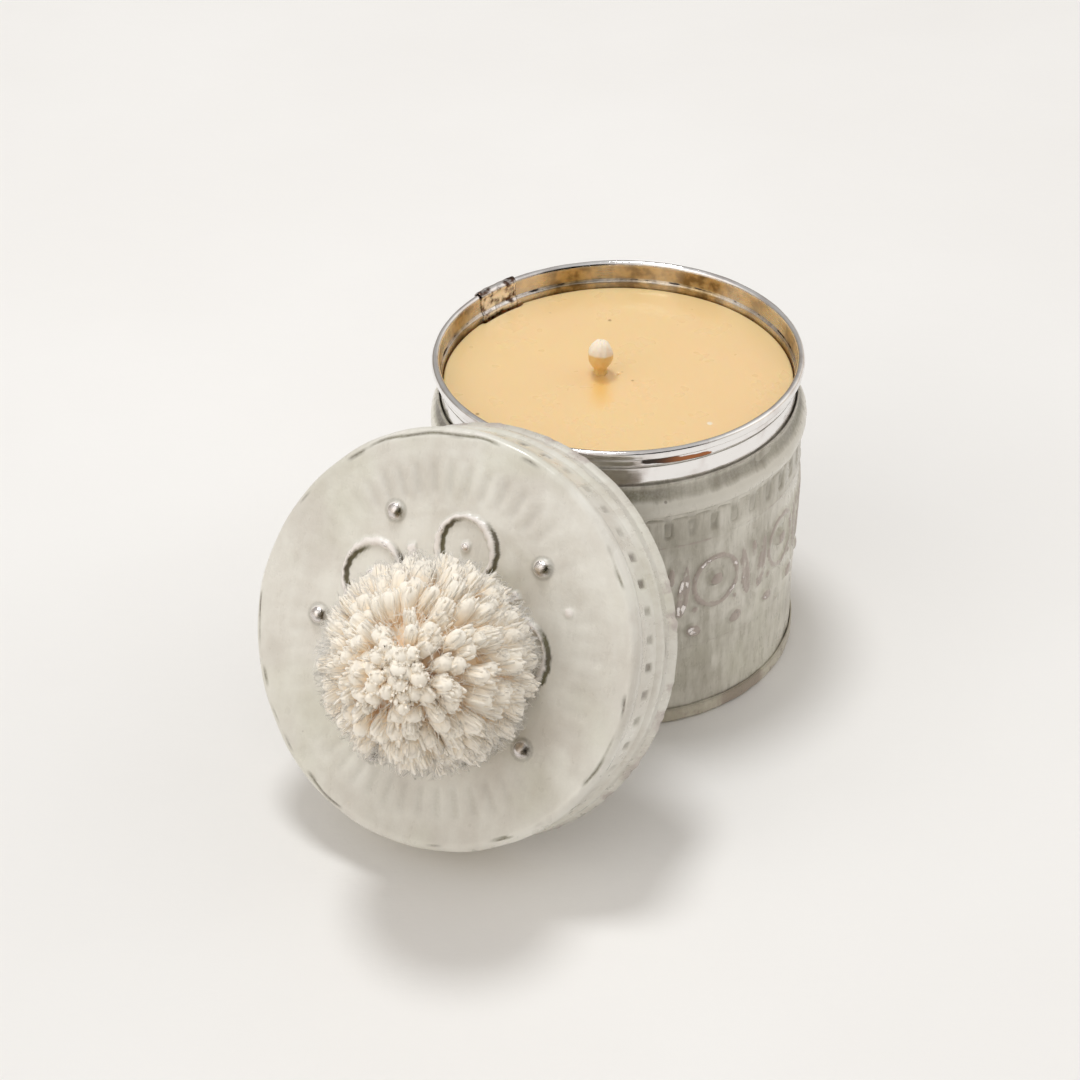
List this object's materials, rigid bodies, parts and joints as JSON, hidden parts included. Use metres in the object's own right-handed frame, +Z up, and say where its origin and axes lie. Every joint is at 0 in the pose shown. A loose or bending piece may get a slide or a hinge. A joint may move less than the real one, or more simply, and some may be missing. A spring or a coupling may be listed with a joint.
{
  "type": "candle tin",
  "caption": "Round embossed tin pot holding a poured candle with a wick, and a matching embossed lid with a wool pom-pom that lifts off.",
  "frame": {"origin": "centre of the pot's base, on the table", "axes": "+Z up along the pot's axis; the lid stands beside the pot towards -X and -Y and leans on its hem"},
  "size_m": [0.0921, 0.1166, 0.0665],
  "materials": {
    "paint": "thick pale celadon grey paint over tinplate, worn to the metal on the crests",
    "bare_tin": "polished tinplate with fine scratches",
    "wax": "honey-coloured wax, smooth with a soft gloss",
    "cotton": "braided cotton dipped in wax",
    "steel": "plain pressed steel",
    "adhesive": "matt foam disc",
    "wool": "cut cream wool yarn"
  },
  "bodies": {
    "pot": {"base_pan": "paint", "body_shell": "paint", "neck_collar": "bare_tin", "wax_fill": "wax", "wick": "cotton", "wick_tab": "steel", "wick_sticker": "adhesive"},
    "lid": {"lid_top": "paint", "lid_skirt": "paint", "pompom": "wool", "pompom_tie": "wool"}
  },
  "joints": [
    {"name": "lid_lift", "type": "slide", "parent": "pot", "child": "lid", "axis": [-0.3788, -0.7836, 0.4924], "range_m": [0, 0.08]}
  ]
}
